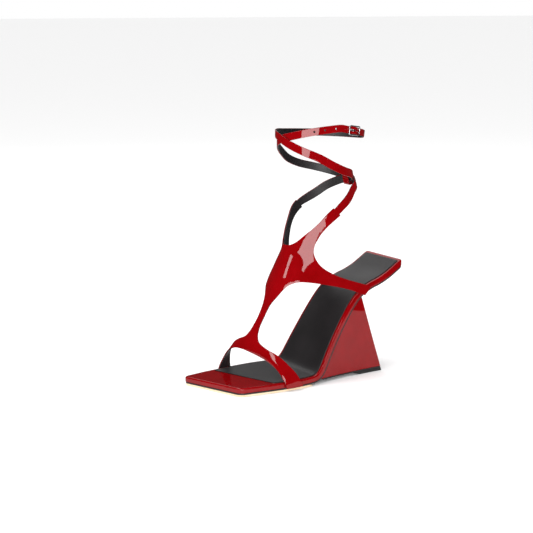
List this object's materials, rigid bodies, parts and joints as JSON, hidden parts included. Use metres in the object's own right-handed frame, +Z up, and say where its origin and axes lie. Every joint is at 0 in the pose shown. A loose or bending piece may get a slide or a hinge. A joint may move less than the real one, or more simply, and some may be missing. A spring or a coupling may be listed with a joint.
{
  "type": "wedge sandal",
  "caption": "Left open-toe sandal on a slanted wedge heel, with a T-bar vamp and straps that cross round the ankle to a centre-bar buckle.",
  "frame": {"origin": "centre of the bounding box, on the floor the sandal stands on", "axes": "+X to the outer side of a left foot, -Y towards the toe, +Y towards the heel, +Z up"},
  "size_m": [0.0854, 0.211, 0.244],
  "materials": {
    "red_patent": "patent, mirror gloss",
    "black_leather": "soft satin nappa",
    "black_edge": "edge-dyed, satin",
    "natural_leather": "plain, undyed",
    "fibre_board": "pressed fibre",
    "foam": "open-cell foam",
    "moulded_core": "moulded",
    "rubber": "matte",
    "steel": "zinc plated",
    "nickel": "polished nickel plate"
  },
  "bodies": {
    "sandal": {"outsole_tread": "natural_leather", "outsole_runner": "black_edge", "insole_board": "fibre_board", "steel_shank": "steel", "platform_cover": "red_patent", "insole_foam": "foam", "insock": "black_leather", "heel_screw_1": "steel", "heel_screw_2": "steel", "heel_screw_3": "steel", "heel_screw_4": "steel", "shank_rivet_front": "steel", "shank_rivet_rear": "steel", "lift_pin_inner": "steel", "lift_pin_outer": "steel", "wedge_core": "moulded_core", "wedge_cover": "red_patent", "heel_base_pad": "black_edge", "heel_lift": "rubber", "vamp_outer": "red_patent", "vamp_lining": "black_leather", "outer_strap": "red_patent", "outer_strap_lining": "black_leather", "inner_strap": "red_patent", "inner_strap_lining": "black_leather"},
    "keeper": {"back_keeper": "red_patent"},
    "buckle": {"buckle_frame": "nickel"},
    "prong": {"buckle_prong": "nickel"}
  },
  "joints": [
    {"name": "keeper_slide", "type": "slide", "parent": "sandal", "child": "keeper", "axis": [1, 0, 0], "range_m": [-0.0015, 0.0015]},
    {"name": "buckle_rock", "type": "hinge", "parent": "sandal", "child": "buckle", "pos_m": [0.03116, 0.04165, 0.23792], "axis": [-0.0362, 0.1467, 0.9885], "range_deg": [-4, 4]},
    {"name": "prong_lift", "type": "hinge", "parent": "buckle", "child": "prong", "pos_m": [0.03116, 0.04165, 0.23792], "axis": [-0.0362, 0.1467, 0.9885], "range_deg": [0, 30]}
  ]
}
